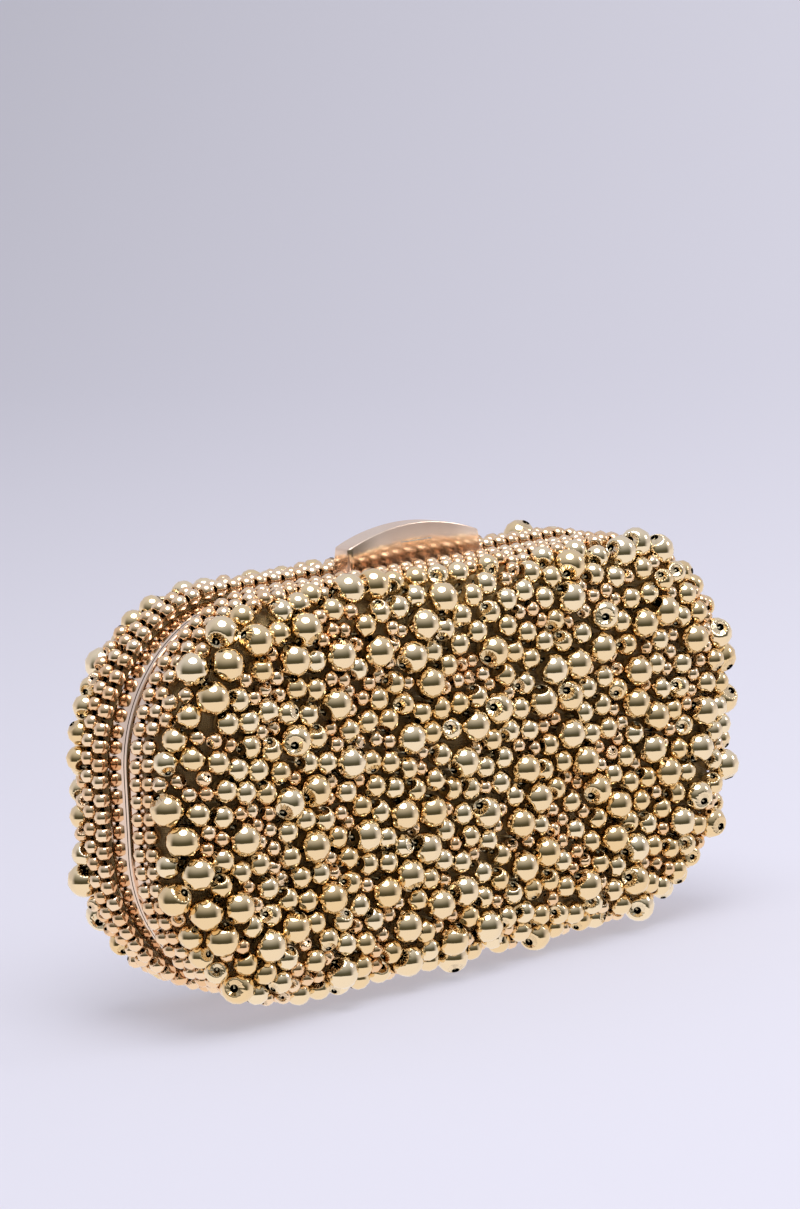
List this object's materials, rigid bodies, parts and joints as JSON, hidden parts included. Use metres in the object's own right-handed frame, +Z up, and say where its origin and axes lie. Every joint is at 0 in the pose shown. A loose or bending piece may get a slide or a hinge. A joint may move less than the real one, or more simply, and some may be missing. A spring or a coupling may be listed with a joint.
{
  "type": "beaded box clutch bag",
  "caption": "Evening clutch: two rigid beaded half shells in polished metal frames, hinged at the bottom and closed by a tilting bar clasp on top.",
  "frame": {"origin": "middle of the surface that the closed bag stands on, in the seam plane", "axes": "+X along the bag's width, +Y from the front half to the back half, +Z up"},
  "size_m": [0.189, 0.051, 0.1065],
  "materials": {
    "gold_beads": "polished gold plating on moulded plastic beads",
    "rim_beads": "polished rose gold plating on small plastic beads",
    "frame_metal": "polished champagne plating",
    "pin_steel": "bright steel",
    "cover_fabric": "matt woven beige fabric",
    "lining_satin": "satin",
    "shell_plastic": "moulded, matt",
    "lining_card": "plain card"
  },
  "bodies": {
    "back_half": {"back_shell": "shell_plastic", "back_fabric": "cover_fabric", "back_frame": "frame_metal", "back_rim_row_inner": "rim_beads", "back_rim_row_outer": "rim_beads", "back_bead_field": "gold_beads", "back_board": "lining_card", "back_lining": "lining_satin", "back_hinge_knuckles": "frame_metal", "hinge_pins": "pin_steel", "clasp_bracket": "frame_metal", "clasp_rivets": "pin_steel", "clasp_pivot_pin": "pin_steel", "clasp_spring": "pin_steel"},
    "front_half": {"front_shell": "shell_plastic", "front_fabric": "cover_fabric", "front_frame": "frame_metal", "front_rim_row_inner": "rim_beads", "front_rim_row_outer": "rim_beads", "front_bead_field": "gold_beads", "front_board": "lining_card", "front_lining": "lining_satin", "front_hinge_knuckles": "frame_metal", "catch_plate": "frame_metal", "catch_rivets": "pin_steel"},
    "clasp": {"clasp_bar": "frame_metal", "clasp_hook": "pin_steel"}
  },
  "joints": [
    {"name": "lid", "type": "hinge", "parent": "back_half", "child": "front_half", "pos_m": [0, 0, 0.00556], "axis": [1, 0, 0], "range_deg": [0, 100]},
    {"name": "clasp_tilt", "type": "hinge", "parent": "back_half", "child": "clasp", "pos_m": [0, 0.0016, 0.09706], "axis": [-1, 0, 0], "range_deg": [0, 18], "stiffness_Nm_per_rad": 0.15, "springref_deg": -8.59}
  ]
}
